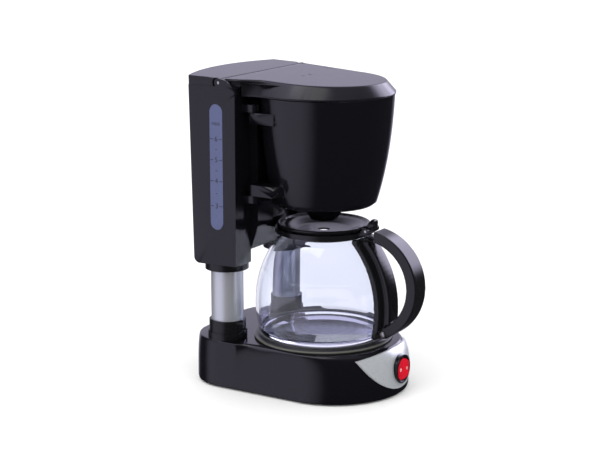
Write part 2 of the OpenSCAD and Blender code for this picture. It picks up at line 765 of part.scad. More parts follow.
module tank_lid() {
    color("#2b2a31") at_brew() difference() {
        union() {
            intersection() {
                tank_form(gap, lid_seat + 0.1, total_h + 5);
                translate([-100, 0, 0]) rotate([90, 0, 90]) linear_extrude(200) polygon([
                    [hinge_y, lid_seat], [hinge_y, top_z(hinge_y)], [tank_rear + 1, top_z(tank_rear + 1)],
                    [tank_rear + 1, lid_seat]]);
            }
            along_x(-tank_hw + panel_t + gap, hinge_y, hinge_z, barrel_r, 2 * (tank_hw - panel_t - gap));
        }
        // The hollow under the lid's top
        intersection() {
            tank_form(gap + cover_t, lid_seat - 10, total_h + 5);
            translate([-100, 0, 0]) rotate([90, 0, 90]) linear_extrude(200) polygon([
                [hinge_y + barrel_r, 0], [hinge_y + barrel_r, top_z(hinge_y) - cover_t],
                [tank_rear + 1, top_z(tank_rear + 1) - cover_t], [tank_rear + 1, 0]]);
        }
        // Room for the panels' ears, round the hinge
        for (x = [-tank_hw - 1, tank_hw - panel_t - gap]) {
            along_x(x, hinge_y, hinge_z, ear_r * sqrt(2) + gap, panel_t + gap + 1);
            translate([x, hinge_y - 10, lid_seat - 1]) cube([panel_t + gap + 1, 10, 20]);
        }
        // The underside in front of and below the barrel
        translate([-100, hinge_y - 20, lid_seat - 1]) cube([200, 20, hinge_z - barrel_r - lid_seat + 1]);
        along_x(-tank_hw - 1, hinge_y, hinge_z, lid_pin_r + pin_fit, 2 * tank_hw + 2);
    }
}

module lid_pins() {
    color("silver") at_brew() for (x = [-tank_hw + 0.4, tank_hw - 9.4])
        along_x(x, hinge_y, hinge_z, lid_pin_r, 9);
}

// ---- Filter stem and basket ----

module filter_stem() {
    color("#1d1c21") at_brew() {
        difference() {
            translate([-stem_hw, 0, 0]) rotate([90, 0, 90]) linear_extrude(2 * stem_hw) polygon([
                [tank_front, tank_under], [tank_front, stem_top], [stem_front, stem_top],
                [stem_front, tank_under + 20]]);
            translate([-stem_hw + 3, stem_front + 2.4, recess_top + 3])
                cube([2 * stem_hw - 6, 20, stem_top - recess_top - 6]);
            // Room for the jug's neck, and for its lid as that opens
            translate([-recess_hw, 0, 0]) cube([2 * recess_hw, recess_y, recess_top]);
        }
        for (z = [lug_low, lug_high]) translate([0, 0, z]) difference() {
            union() {
                translate([-swing_x - knuckle_r, swing_y, 0])
                    cube([2 * knuckle_r, tank_front - swing_y, lug_h]);
                translate([-swing_x, swing_y, 0]) cylinder(r = knuckle_r, h = lug_h);
                translate([-swing_x - knuckle_r, tank_front - 5, 0])
                    cube([swing_x + knuckle_r - stem_hw + 1, 5, lug_h]);
            }
            translate([-swing_x, swing_y, -1]) cylinder(r = swing_pin_r + pin_seat, h = lug_h + 2);
        }
    }
}

module basket_pins() {
    color("silver") at_brew() for (z = [lug_low, lug_high - 8])
        disc_at([-swing_x, swing_y], swing_pin_r, z, z + lug_h + 8);
}

// The bucket's outer side from its floor to its rim
function basket_side(d) = bezier([[basket_floor_r + 2 - d, basket_z + 2.4], [basket_r - 5 - d, basket_z + 32],
                                  [basket_r - 1.5 - d, basket_z + 62], [basket_r - d, basket_top]], 16);

module basket_form() {
    rotate_extrude() polygon(concat([[0, basket_z], [basket_floor_r - 1, basket_z]], basket_side(0),
                                    [[0, basket_top]]));
}

module basket_room() {
    side = basket_side(basket_wall);
    rotate_extrude() polygon(concat(
        [[0, basket_z + basket_wall], [side[0][0], basket_z + basket_wall]],
        [for (p = side) if (p[1] > basket_z + basket_wall + 0.5 && p[1] < ledge_z - 1) p],
        [[basket_r - basket_wall - 2, ledge_z], [basket_r - basket_wall, ledge_z],
         [basket_r - basket_wall, basket_top + 1], [0, basket_top + 1]]));
}

module in_front_of(y) { translate([-150, y - 200, 0]) cube([300, 200, 400]); }

// One of the basket's two hinge arms: a knuckle on the pin and a web to the bucket's side
module hinge_arm(low, high) {
    disc_at([-swing_x, swing_y], knuckle_r, low, high);
    translate([0, 0, low]) linear_extrude(high - low) polygon([
        [-swing_x - knuckle_r, swing_y], [-basket_r + 0.9, 14], [-40, 10],
        [-40, basket_back], [-swing_x + 2, swing_y]]);
}

module filter_basket() {
    low = lug_low + lug_h + pin_gap;
    high = lug_high - pin_gap;
    color("#1d1c21") at_brew() difference() {
        union() {
            intersection() { basket_form(); in_front_of(basket_back); }
            hinge_arm(high - arm_h, high);
            hinge_arm(low, low + arm_h);
            translate([0, 0, nozzle_z]) cylinder(r1 = nozzle_r, r2 = nozzle_top_r, h = nozzle_h + eps);
        }
        intersection() { basket_room(); in_front_of(basket_back - basket_wall); }
        disc_at([-swing_x, swing_y], swing_pin_r + pin_fit, low - 1, high + 1);
        disc_at([0, 0], valve_bore, nozzle_z - 1, basket_z + basket_wall + 1);
    }
}

module filter_cone() {
    rim_r = basket_r - basket_wall - 0.5;
    side = [[cone_floor_r, cone_z], [rim_r - 4.5, ledge_z - 2]];
    color("#2a2a2d") at_brew() difference() {
        union() {
            intersection() {
                rotate_extrude() polygon([[0, cone_z], side[0], side[1], [0, ledge_z - 2]]);
                in_front_of(basket_back - basket_wall - gap);
            }
            intersection() {
                disc_at([0, 0], rim_r, ledge_z, ledge_z + 1.6);
                in_front_of(basket_back - basket_wall - gap);
            }
            intersection() {
                disc_at([0, 0], rim_r - 4.5, ledge_z - 2.1, ledge_z + 0.1);
                in_front_of(basket_back - basket_wall - gap);
            }
        }
        intersection() {
            rotate_extrude() polygon([[0, cone_z + cone_t], [side[0][0] - cone_t, cone_z + cone_t],
                                      [side[1][0] - cone_t, ledge_z - 2], [side[1][0] - cone_t, ledge_z + 3],
                                      [0, ledge_z + 3]]);
            in_front_of(basket_back - basket_wall - gap - cone_t);
        }
        // Outlet holes round the disc that the valve's spring presses on
        for (a = [0 : 60 : 300]) disc_at([9 * cos(a), 9 * sin(a)], 2, cone_z - 1, cone_z + 3);
    }
}

// The spring holds the plunger's flange down on the seal, which shuts the outlet
module drip_plunger() {
    color("#303034") at_brew() {
        disc_at([0, 0], stem_r, tip_z, flange_z + eps);
        disc_at([0, 0], flange_r, flange_z, flange_z + flange_t);
    }
}

module drip_seal() {
    color("#8a3b2a") at_brew() translate([0, 0, basket_z + basket_wall])
        ring(flange_r + 1, valve_bore + 0.2, seal_t);
}

module plunger_spring() {
    wire = 0.35;
    coil_r = 3.2;
    steps = 12;
    turns = 4;
    low = flange_z + flange_t + wire + 0.05;
    high = cone_z - wire - 0.05;
    path = [for (k = [0 : turns * steps]) let (a = 360 * k / steps)
        [coil_r * cos(a), coil_r * sin(a), low + (high - low) * k / (turns * steps)]];
    color("silver") at_brew() loft([for (k = [0 : len(path) - 1])
        let (a = 360 * k / steps, out = [cos(a), sin(a), 0])
        [for (j = [0 : 5]) path[k] + wire * cos(60 * j) * [0, 0, 1] + wire * sin(60 * j) * out]]);
}

// ---- Jug ----

// The glass from its foot over the belly to the neck; d moves it inwards
function glass_side(d) = concat(
    bezier([[belly_r - 3 - d, jug_z + 2], [belly_r - 0.6 - d, jug_z + 10], [belly_r + 0.4 - d, jug_z + 22],
            [belly_r - 0.2 - d, jug_z + 30.5]], 8),
    [for (i = [1 : 14]) bezier([[belly_r - 0.2 - d, jug_z + 30.5], [belly_r - 0.8 - d, jug_z + 46.5],
                                [belly_r - 6.3 - d, jug_z + 65.5], [neck_r - d, jug_top - 8.5]], 14)[i]]);

module glass_form(d) {
    rotate_extrude() polygon(concat([[0, jug_z], [belly_r - 4.6 - d, jug_z]], glass_side(d),
                                    [[neck_r - d, jug_top], [0, jug_top]]));
}

module jug_glass() {
    color("#dfe9e4", 0.35) at_brew() rotate_extrude() polygon(concat(
        [[0, jug_z], [belly_r - 4.6, jug_z]], glass_side(0), [[neck_r, jug_top], [neck_r - glass_t, jug_top]],
        [for (i = [len(glass_side(glass_t)) - 1 : -1 : 1]) glass_side(glass_t)[i]],
        [[belly_r - glass_t - 6, jug_z + 3], [0, jug_z + 3]]));
}

module jug_collar() {
    color("#161618") at_brew() difference() {
        union() {
            difference() {
                rotate_extrude() polygon([[neck_r + glass_fit, jug_top], [neck_r + 3, jug_top],
                                          [neck_r + 3.2, collar_low], [neck_r + glass_fit, collar_low]]);
                glass_form(-glass_fit);
            }
            for (s = [-1, 1]) translate([s * 8 - 2, 0, 0]) hull() {
                along_x(0, lid_pin_y, lid_pin_z, lid_knuckle_r, 4);
                translate([0, -neck_r - 2.8, collar_low]) cube([4, 1, 4]);
            }
        }
        along_x(-20, lid_pin_y, lid_pin_z, lid_pin_bore + pin_seat, 40);
    }
}

// Side view, with Y to the right, of the handle's loop
module loop_outline() {
    difference() {
        translate(loop_mid) circle(r = loop_r);
        translate(loop_mid) circle(r = loop_r - grip_t);
        translate([loop_mid[0] + 1, 0]) square([100, jug_top - 16]);
    }
}

module jug_handle() {
    color("#1a1a1c") at_brew() difference() {
        union() {
            intersection() {
                translate([-grip_w / 2, 0, 0]) rotate([90, 0, 90]) linear_extrude(grip_w) union() {
                    loop_outline();
                    translate([loop_mid[0] - 18, handle_low]) square([30, 9]);
                }
                translate([-50, -150, handle_low]) cube([100, 150, 200]);
            }
            intersection() {
                difference() { glass_form(-back_t); glass_form(-glass_fit); }
                translate([-back_hw, -100, handle_low]) cube([2 * back_hw, 100, collar_low - 1 - handle_low]);
            }
            intersection() {
                difference() { glass_form(-back_t - 5); glass_form(-glass_fit); }
                translate([-back_hw * 0.55, -100, handle_low])
                    cube([back_hw * 1.1, 100, collar_low - 1 - handle_low]);
            }
        }
        glass_form(-glass_fit - 0.1);
        disc_at([0, 0], neck_r + 3.3, collar_low - 1, jug_top + 20);
        translate([-50, lid_pin_y - 7.5, collar_low - 1]) cube([100, 60, 60]);
        along_x(-30, handle_screw_y, handle_screw_z, 1.5, 60);
        along_x(-30, handle_screw_y, handle_screw_z, 3.3, 30 - grip_w / 2);
    }
}

module handle_screw() {
    color("silver") at_brew() {
        along_x(-grip_w / 2 - 1.2, handle_screw_y, handle_screw_z, 3, 1.2);
        along_x(-grip_w / 2, handle_screw_y, handle_screw_z, 1.45, grip_w - 2);
    }
}

// Seen from the front and from the side, the thumb tab is round
module thumb_tab() {
    intersection() {
        translate([-tab_hw, 0, 0]) rotate([90, 0, 90]) linear_extrude(2 * tab_hw) union() {
            polygon([[-lid_rim_r + 3, lid_z], [-lid_rim_r + 3, lid_z + 3.2], [lid_pin_y + 1, lid_z + 5.5],
                     [lid_pin_y - 1.4, lid_z + 9.6], [lid_pin_y - 4.2, lid_z + 8.6],
                     [lid_pin_y - 3.4, lid_z + 3.2], [lid_pin_y, lid_z]]);
            translate([lid_pin_y - 2.8, lid_z + 9.1]) circle(r = 1.6, $fn = 32);
        }
        rotate([90, 0, 0]) linear_extrude(100) union() {
            translate([0, lid_z + 10.7 - tab_hw]) circle(r = tab_hw);
            translate([-tab_hw, lid_z - 1]) square([2 * tab_hw, 11.7 - tab_hw]);
        }
    }
}

module jug_lid() {
    color("#161618") at_brew() difference() {
        union() {
            rotate_extrude() polygon([
                [lid_rim_r, lid_z], [lid_rim_r, lid_z + 2.6], [lid_rim_r - 0.6, lid_z + 3.2],
                [lid_rim_r - 2.4, lid_z + 3.2], [lid_rim_r - 3.2, lid_z + 1.8], [plug_r - 1.8, lid_z + 1.6],
                [dish_r, lid_z - 3], [dish_hole_r, lid_z - 3], [dish_hole_r, lid_z - 4.6],
                [dish_r + 0.6, lid_z - 4.6], [plug_r - 1.6, lid_z]]);
            translate([0, 0, lid_z - 7]) ring(plug_r, plug_r - 1.6, 7 + eps);
            thumb_tab();
            along_x(-tab_hw, lid_pin_y, lid_pin_z, lid_knuckle_r, 2 * tab_hw);
        }
        along_x(-20, lid_pin_y, lid_pin_z, lid_pin_bore + pin_fit, 40);
    }
}

module jug_lid_pin() {
    color("silver") at_brew() along_x(-9.8, lid_pin_y, lid_pin_z, lid_pin_bore, 19.6);
}

base_housing();
bottom_plate();
rubber_feet();
bottom_screws();
cord_gland();
terminal_block();
hot_plate();
hot_plate_seal();
heating_element();
water_tube();
element_clamp();
clamp_screw();
thermostat();
thermal_fuse();
front_trim();
switch_body();
switch_pin();
switch_rocker();
lower_collars();
column_tubes();
upper_collars();
tank_housing();
water_gauge();
hose_grommets();
cold_hose();
check_valve();
hot_hose();
spray_head();
top_cover();
tank_lid();
lid_pins();
filter_stem();
basket_pins();
filter_basket();
filter_cone();
drip_plunger();
plunger_spring();
drip_seal();
jug_glass();
jug_collar();
jug_handle();
handle_screw();
jug_lid();
jug_lid_pin();
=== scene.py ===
# %% [markdown]
# # A drip coffee maker, finished in Blender
# The shapes come from the packed model, which is loaded as a fixed frame. This lesson gives every part
# the finish of its real material, adds the small pieces that a solid model leaves out, and lights it all
# like a catalogue picture. Lengths are metres, and +Z is up.

# %% Load the frame
import json
import math

import bmesh
import bpy
from mathutils import Matrix, Vector

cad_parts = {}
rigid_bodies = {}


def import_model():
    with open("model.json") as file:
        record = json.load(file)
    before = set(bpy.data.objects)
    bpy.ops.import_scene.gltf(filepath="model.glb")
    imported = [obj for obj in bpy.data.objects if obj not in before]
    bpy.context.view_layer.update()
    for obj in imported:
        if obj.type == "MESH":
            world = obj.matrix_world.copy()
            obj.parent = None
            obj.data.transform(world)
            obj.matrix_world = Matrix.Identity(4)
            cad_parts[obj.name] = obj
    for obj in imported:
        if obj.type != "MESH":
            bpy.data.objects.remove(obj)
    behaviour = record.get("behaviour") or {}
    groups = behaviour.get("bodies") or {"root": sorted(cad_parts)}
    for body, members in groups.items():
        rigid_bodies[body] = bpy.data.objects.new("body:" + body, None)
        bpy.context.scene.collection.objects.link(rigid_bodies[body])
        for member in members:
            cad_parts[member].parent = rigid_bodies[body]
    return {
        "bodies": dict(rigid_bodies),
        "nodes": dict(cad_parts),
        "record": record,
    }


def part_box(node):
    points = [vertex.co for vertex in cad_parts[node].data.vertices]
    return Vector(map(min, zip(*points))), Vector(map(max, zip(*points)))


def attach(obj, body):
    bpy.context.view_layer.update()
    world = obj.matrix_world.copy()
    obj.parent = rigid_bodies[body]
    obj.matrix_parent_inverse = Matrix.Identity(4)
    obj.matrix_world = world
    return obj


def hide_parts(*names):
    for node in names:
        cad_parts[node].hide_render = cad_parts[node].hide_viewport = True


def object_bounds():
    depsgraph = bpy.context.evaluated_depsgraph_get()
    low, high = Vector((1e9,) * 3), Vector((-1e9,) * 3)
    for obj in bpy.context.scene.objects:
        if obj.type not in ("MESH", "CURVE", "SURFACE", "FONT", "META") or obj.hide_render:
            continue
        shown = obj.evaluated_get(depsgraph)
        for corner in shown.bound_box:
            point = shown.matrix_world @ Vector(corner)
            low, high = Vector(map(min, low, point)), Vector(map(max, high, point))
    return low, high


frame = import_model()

MM = 0.001
cad_low, cad_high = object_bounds()
nodes, bodies = frame["nodes"], frame["bodies"]
cad_size = cad_high - cad_low
print(f"{len(nodes)} nodes in {len(bodies)} bodies, {[round(v / MM, 1) for v in cad_size]} mm")

# %% [markdown]
# ## The camera
# A long lens, set back about 1.3 m, keeps the tank's upright edges nearly parallel. The camera stands to
# the front left and looks down by about 13 degrees, so the side gauge, the jug and the switch all show.

# %% Place the camera
CAMERA_AT = (-1.0859, -0.63365, 0.4186)
LOOK_DOWN = 12.68
HEADING = -59.05
lens = bpy.data.cameras.new("catalogue lens")
lens.sensor_width, lens.lens = 36.0, 91.95
lens.clip_start, lens.clip_end = 0.05, 60.0
camera = bpy.data.objects.new("catalogue camera", lens)
camera.location = CAMERA_AT
camera.rotation_euler = [math.radians(a) for a in (90 - LOOK_DOWN, 0.0, HEADING)]
bpy.context.scene.collection.objects.link(camera)
bpy.context.scene.camera = camera
print(f"camera {Vector(CAMERA_AT).length:.2f} m from the origin, lens {lens.lens} mm")

# %% [markdown]
# ## Two small helpers
# Colours are written as the hex codes that a paint chart shows, so one function turns them to the linear
# values that a renderer counts in. A second function adds a shader node with its settings and its links,
# which keeps each finish short enough to read as a recipe.

# %% Colour and node helpers
def linear(code):
    """The linear red, green, blue and alpha of an sRGB hex code such as #c8102e."""
    parts = [int(code[i:i + 2], 16) / 255 for i in (1, 3, 5)]
    return [c / 12.92 if c <= 0.04045 else ((c + 0.055) / 1.055) ** 2.4 for c in parts] + [1.0]


def add(tree, kind, settings=None, links=None):
    """Adds a node. A setting or link is named by its socket, by the socket's number, or by a property."""
    made = tree.nodes.new(kind)
    for key, value in (settings or {}).items():
        if isinstance(key, int) or key in made.inputs:
            made.inputs[key].default_value = value
        else:
            setattr(made, key, value)
    for key, source in (links or {}).items():
        tree.links.new(source, made.inputs[key])
    return made


def per_metre(size_mm):
    """The scale that makes a texture's cells about this many millimetres across."""
    return 1 / (size_mm * MM)


print("red polycarbonate is", [round(c, 3) for c in linear("#c8102e")])

# %% [markdown]
# ## Starting a finish
# Every finish starts from one Principled shader. Object coordinates are the part's own metres, so a
# pattern keeps its real size and travels with the part when a joint moves.

# %% Start a finish
finishes = {}


def start_finish(name, colour, roughness, **sockets):
    """A material with a Principled shader, and the object coordinates its patterns start from."""
    made = bpy.data.materials.new(name)
    made.use_nodes = True
    tree = made.node_tree
    shader = tree.nodes["Principled BSDF"]
    shader.inputs["Base Color"].default_value = linear(colour)
    shader.inputs["Roughness"].default_value = roughness
    for key, value in sockets.items():
        shader.inputs[key.replace("_", " ")].default_value = value
    made.diffuse_color = linear(colour)
    place = add(tree, "ShaderNodeTexCoord").outputs["Object"]
    return made, tree, shader, place


def grain(tree, shader, place, size_mm, depth_mm, roughness, detail=3.0):
    """Moulded or worn grain: one noise lifts the surface and spreads the gloss between two values."""
    noise = add(tree, "ShaderNodeTexNoise", {"Scale": per_metre(size_mm), "Detail": detail},
                {"Vector": place})
    gloss = add(tree, "ShaderNodeMapRange", {"From Min": 0.3, "From Max": 0.7, "To Min": roughness[0],
                                             "To Max": roughness[1]}, {"Value": noise.outputs["Fac"]})
    lift = add(tree, "ShaderNodeBump", {"Strength": 1.0, "Distance": depth_mm * MM},
               {"Height": noise.outputs["Fac"]})
    tree.links.new(gloss.outputs["Result"], shader.inputs["Roughness"])
    tree.links.new(lift.outputs["Normal"], shader.inputs["Normal"])
    return noise, lift


print("a finish starts with", start_finish.__doc__.split(".")[0].lower())

# %% [markdown]
# ## Gloss black ABS
# The base, the tank and the basket are injection moulded in ABS against a polished tool. Such a surface
# mirrors the room, but a slow waviness from shrinkage, some millimetres long, bends the reflections a
# little. ABS has an IOR near 1.5, and its gloss is a roughness of 0.1 to 0.2.

# %% Gloss black ABS
def gloss_abs():
    made, tree, shader, place = start_finish("gloss black ABS", "#0b0a0e", 0.14, IOR=1.50)
    wave = add(tree, "ShaderNodeTexNoise", {"Scale": per_metre(22), "Detail": 1.0}, {"Vector": place})
    speck = add(tree, "ShaderNodeTexNoise", {"Scale": per_metre(0.9), "Detail": 3.0}, {"Vector": place})
    gloss = add(tree, "ShaderNodeMapRange", {"From Min": 0.3, "From Max": 0.7, "To Min": 0.12,
                                             "To Max": 0.19}, {"Value": speck.outputs["Fac"]})
    slow = add(tree, "ShaderNodeBump", {"Strength": 1.0, "Distance": 0.06 * MM},
               {"Height": wave.outputs["Fac"]})
    fine = add(tree, "ShaderNodeBump", {"Strength": 1.0, "Distance": 0.0012 * MM},
               {"Height": speck.outputs["Fac"], "Normal": slow.outputs["Normal"]})
    tree.links.new(gloss.outputs["Result"], shader.inputs["Roughness"])
    tree.links.new(fine.outputs["Normal"], shader.inputs["Normal"])
    return made


finishes["gloss_black"] = gloss_abs()
print(finishes["gloss_black"].name)

# %% [markdown]
# ## The cover and the lid
# The top is the same plastic from a tool with a finer satin polish, so its reflections are softer. That
# spreads one bright lamp over the whole bevel instead of drawing it as a hard streak.

# %% Satin-polished ABS, satin polypropylene and plain polypropylene
def black_plastic(name, colour, size_mm, depth_mm, roughness):
    made, tree, shader, place = start_finish(name, colour, roughness[0], IOR=1.49)
    grain(tree, shader, place, size_mm, depth_mm, roughness)
    return made


finishes["black_cover"] = black_plastic("satin-polished black ABS", "#0e0d12", 0.8, 0.002, (0.20, 0.27))
finishes["satin_black"] = black_plastic("satin black polypropylene", "#0f0f11", 0.5, 0.006, (0.17, 0.25))
finishes["black_inner"] = black_plastic("plain black polypropylene", "#0d0d0f", 0.7, 0.004, (0.20, 0.30))
print([finishes[slot].name for slot in ("black_cover", "satin_black", "black_inner")])

# %% [markdown]
# ## Rubber, silicone and nylon
# The feet, the grommets and the seals are soft and dull. Silicone hose lets some light in, so it gets a
# little subsurface scattering. Natural nylon is creamy, with a faint mottle where it cooled.

# %% Rubber, silicone and nylon
def soft_rubber():
    made, tree, shader, place = start_finish("moulded rubber", "#232324", 0.75, IOR=1.52)
    grain(tree, shader, place, 0.6, 0.02, (0.68, 0.86))
    return made


def milky_plastic(name, colour, scatter_mm, roughness):
    made, tree, shader, place = start_finish(name, colour, roughness[0], IOR=1.43,
                                             Subsurface_Weight=0.35, Subsurface_Scale=scatter_mm * MM)
    grain(tree, shader, place, 1.5, 0.01, roughness)
    return made


finishes["rubber"] = soft_rubber()
finishes["silicone_hose"] = milky_plastic("translucent silicone hose", "#dcdcd4", 2.0, (0.35, 0.48))
finishes["white_plastic"] = milky_plastic("natural nylon", "#e0dccb", 1.0, (0.38, 0.52))
print([finishes[slot].name for slot in ("rubber", "silicone_hose", "white_plastic")])

# %% [markdown]
# ## Metals
# A metal has no diffuse colour of its own, so its look is all reflection: metallic 1, a typical colour,
# and a roughness that says how it was made. Cast and plated parts scatter evenly.

# %% Plated steel and cast aluminium
def even_metal(name, colour, size_mm, depth_mm, roughness):
    made, tree, shader, place = start_finish(name, colour, roughness[0], Metallic=1.0)
    grain(tree, shader, place, size_mm, depth_mm, roughness)
    return made


finishes["steel"] = even_metal("zinc-plated steel", "#c2c0ba", 0.4, 0.002, (0.20, 0.34))
finishes["cast_aluminium"] = even_metal("cast aluminium", "#c8c9cb", 1.2, 0.03, (0.36, 0.52))
print([finishes[slot].name for slot in ("steel", "cast_aluminium")])

# %% [markdown]
# ## Brushed aluminium columns
# A belt drawn along the tube leaves fine scratches that run its whole length. Real scratches are about
# 0.05 mm wide, too fine to show, so these are 0.35 mm wide and 60 mm long. They rough the gloss and lift
# the surface only across the tube, which widens reflections round it and keeps them sharp along it. The
# clear oxide layer on top is milky and scatters some light, so the finish is not wholly metallic.

# %% Brushed aluminium
def brushed_tube():
    made, tree, shader, place = start_finish("brushed, anodised aluminium", "#c9cbd2", 0.3, Metallic=0.7)
    stretched = add(tree, "ShaderNodeMapping", {"Scale": (per_metre(0.35), per_metre(0.35), per_metre(60))},
                    {"Vector": place})
    brush = add(tree, "ShaderNodeTexNoise", {"Scale": 1.0, "Detail": 4.0},
                {"Vector": stretched.outputs["Vector"]})
    gloss = add(tree, "ShaderNodeMapRange", {"From Min": 0.3, "From Max": 0.7, "To Min": 0.28,
                                             "To Max": 0.42}, {"Value": brush.outputs["Fac"]})
    lift = add(tree, "ShaderNodeBump", {"Strength": 1.0, "Distance": 0.008 * MM},
               {"Height": brush.outputs["Fac"]})
    tree.links.new(gloss.outputs["Result"], shader.inputs["Roughness"])
    tree.links.new(lift.outputs["Normal"], shader.inputs["Normal"])
    return made


finishes["column_aluminium"] = brushed_tube()
print(finishes["column_aluminium"].name)

# %% [markdown]
# ## Silver lacquer, red polycarbonate and the plate's coating
# The crescent round the switch is plastic under silver lacquer: flakes of aluminium about 0.15 mm across
# in clear resin. They are drawn at 0.4 mm so that they show. The rocker is clear red plastic that glows a
# little where light enters. The hot plate has a dark non-stick coating with a light fleck, over metal
# that was turned on a lathe and keeps its shallow rings.

# %% Silver lacquer, red polycarbonate and non-stick coating
def flaked(name, dark, light, fleck_mm, roughness, **sockets):
    made, tree, shader, place = start_finish(name, dark, roughness[0], **sockets)
    grain(tree, shader, place, fleck_mm * 2, 0.003, roughness)
    cells = add(tree, "ShaderNodeTexVoronoi", {"Scale": per_metre(fleck_mm)}, {"Vector": place})
    tone = add(tree, "ShaderNodeSeparateColor", {}, {"Color": cells.outputs["Color"]})
    mixed = add(tree, "ShaderNodeMix", {"data_type": "RGBA", 6: linear(dark), 7: linear(light)},
                {0: tone.outputs["Red"]})
    tree.links.new(mixed.outputs[2], shader.inputs["Base Color"])
    return made


def red_polycarbonate():
    made, tree, shader, place = start_finish("red polycarbonate", "#c60c24", 0.16, IOR=1.58,
                                             Subsurface_Weight=0.25, Subsurface_Scale=1.5 * MM)
    grain(tree, shader, place, 1.1, 0.004, (0.14, 0.24))
    return made


finishes["silver_trim"] = flaked("silver lacquer", "#c6cace", "#dfe3e7", 0.4, (0.28, 0.38),
                                 Metallic=0.55, IOR=1.50)
finishes["plate_enamel"] = flaked("non-stick coating", "#141416", "#26262a", 0.7, (0.30, 0.42), IOR=1.45)


def turned_rings_and_painted_crests(made, size_mm, depth_mm, axis_y_mm, crest_highlight_colour):
    """Adds the shallow rings that a lathe leaves round an upright axis, and paints a highlight on their
    crests by mixing in a lighter colour there.
    """
    tree = made.node_tree
    shader = tree.nodes["Principled BSDF"]
    place = add(tree, "ShaderNodeTexCoord").outputs["Object"]
    centred = add(tree, "ShaderNodeMapping", {"Location": (0.0, -axis_y_mm * MM, 0.0)}, {"Vector": place})
    waves = add(tree, "ShaderNodeTexWave", {"wave_type": "RINGS", "rings_direction": "Z",
                                            "Scale": math.pi / 10 / (size_mm * MM)},
                {"Vector": centred.outputs["Vector"]})
    before = shader.inputs["Normal"].links[0].from_socket
    lift = add(tree, "ShaderNodeBump", {"Strength": 1.0, "Distance": depth_mm * MM},
               {"Height": waves.outputs["Fac"], "Normal": before})
    tree.links.new(lift.outputs["Normal"], shader.inputs["Normal"])
    fleck = shader.inputs["Base Color"].links[0].from_socket
    # Painted highlight: the crests of the rings are mixed toward a lighter colour, as if they caught the
    # light
    painted_crest_highlight = add(tree, "ShaderNodeMix", {"data_type": "RGBA", 7: linear(crest_highlight_colour)},
               {0: waves.outputs["Fac"], 6: fleck})
    tree.links.new(painted_crest_highlight.outputs[2], shader.inputs["Base Color"])


# The rings of the hot plate, with a painted highlight in #5f5f58 on their crests
turned_rings_and_painted_crests(finishes["plate_enamel"], 7.0, 0.12, -5.75, "#5f5f58")
finishes["red_button"] = red_polycarbonate()
print([finishes[slot].name for slot in ("silver_trim", "plate_enamel", "red_button")])

# %% [markdown]
# ## The gauge window
# The window is a strip of bluish styrene that has to let the water line show, but blurs what is behind.
# Part of the light goes through and part scatters, so it gets some transmission and a fine frost.

# %% Frosted styrene
def frosted_styrene():
    made, tree, shader, place = start_finish("frosted blue styrene", "#525a80", 0.3, IOR=1.55,
                                             Transmission_Weight=0.2)
    grain(tree, shader, place, 0.8, 0.01, (0.26, 0.40))
    return made


finishes["gauge_plastic"] = frosted_styrene()
print(finishes["gauge_plastic"].name)

# %% [markdown]
# ## The jug's glass
# Pressed borosilicate has an IOR of 1.47 and hardly any colour. The mould leaves a slow waviness, which
# makes the reflections swim a little. A renderer would have light that is bent by the wall find no lamp, so
# the light that falls on things inside the jug passes straight through.

# %% Pressed glass
def pressed_glass():
    made, tree, shader, place = start_finish("pressed borosilicate glass", "#eef0fa", 0.0, IOR=1.47,
                                             Transmission_Weight=1.0)
    wave = add(tree, "ShaderNodeTexNoise", {"Scale": per_metre(16), "Detail": 1.0}, {"Vector": place})
    lift = add(tree, "ShaderNodeBump", {"Strength": 1.0, "Distance": 0.012 * MM},
               {"Height": wave.outputs["Fac"]})
    tree.links.new(lift.outputs["Normal"], shader.inputs["Normal"])
    clear = add(tree, "ShaderNodeBsdfTransparent", {"Color": linear("#e8eef4")})
    path = add(tree, "ShaderNodeLightPath")
    lit_through = add(tree, "ShaderNodeMath", {"operation": "MAXIMUM"},
                      {0: path.outputs["Is Shadow Ray"], 1: path.outputs["Is Diffuse Ray"]})
    either = add(tree, "ShaderNodeMixShader", {}, {0: lit_through.outputs["Value"], 1: shader.outputs["BSDF"],
                                                   2: clear.outputs["BSDF"]})
    tree.links.new(either.outputs["Shader"], tree.nodes["Material Output"].inputs["Surface"])
    return made


finishes["jug_glass"] = pressed_glass()
print(finishes["jug_glass"].name)

# %% [markdown]
# ## Giving each node its finish
# The record says which finish each node has, so one loop dresses the whole machine. The finish goes on
# the object's own slot, which leaves the mesh as it came.

# %% Dress the nodes
for part in frame["record"]["subparts"]:
    shown = nodes[part["node"]]
    for held in shown.material_slots:
        held.link = "OBJECT"
        held.material = finishes[part["material_slot"]]
print({name: finish.name for name, finish in finishes.items()})

# %% [markdown]
# ## Turned pieces
# Screw heads and feet are round, and a lathe makes them: a half outline is spun about its axis. The head
# then loses a cross, cut by two crossed slots. The feet get a chamfer and a grip ring, which keep them
# from looking like plain discs.

# %% The lathe
def lathe(name, outline, turns=64):
    """Spins (radius, height) points in metres about +Z into a closed mesh object."""
    mesh = bmesh.new()
    rings = []
    for radius, height in outline:
        if radius < 1e-6:
            rings.append([mesh.verts.new((0, 0, height))])
        else:
            step = 2 * math.pi / turns
            rings.append([mesh.verts.new((radius * math.cos(i * step), radius * math.sin(i * step), height))
                          for i in range(turns)])
    for low, high in zip(rings, rings[1:]):
        for i in range(turns):
            corners = [low[i % len(low)], low[(i + 1) % len(low)], high[(i + 1) % len(high)],
                       high[i % len(high)]]
            different = list(dict.fromkeys(corners))
            if len(different) > 2:
                mesh.faces.new(different)
    bmesh.ops.recalc_face_normals(mesh, faces=mesh.faces)
    data = bpy.data.meshes.new(name)
    mesh.to_mesh(data)
    mesh.free()
    made = bpy.data.objects.new(name, data)
    bpy.context.scene.collection.objects.link(made)
    return made


def smooth_by_angle(shown, degrees=35):
    """Smooth faces that keep an edge where the surface turns by more than this."""
    shown.data.shade_smooth()
    shown.data.set_sharp_from_angle(angle=math.radians(degrees))


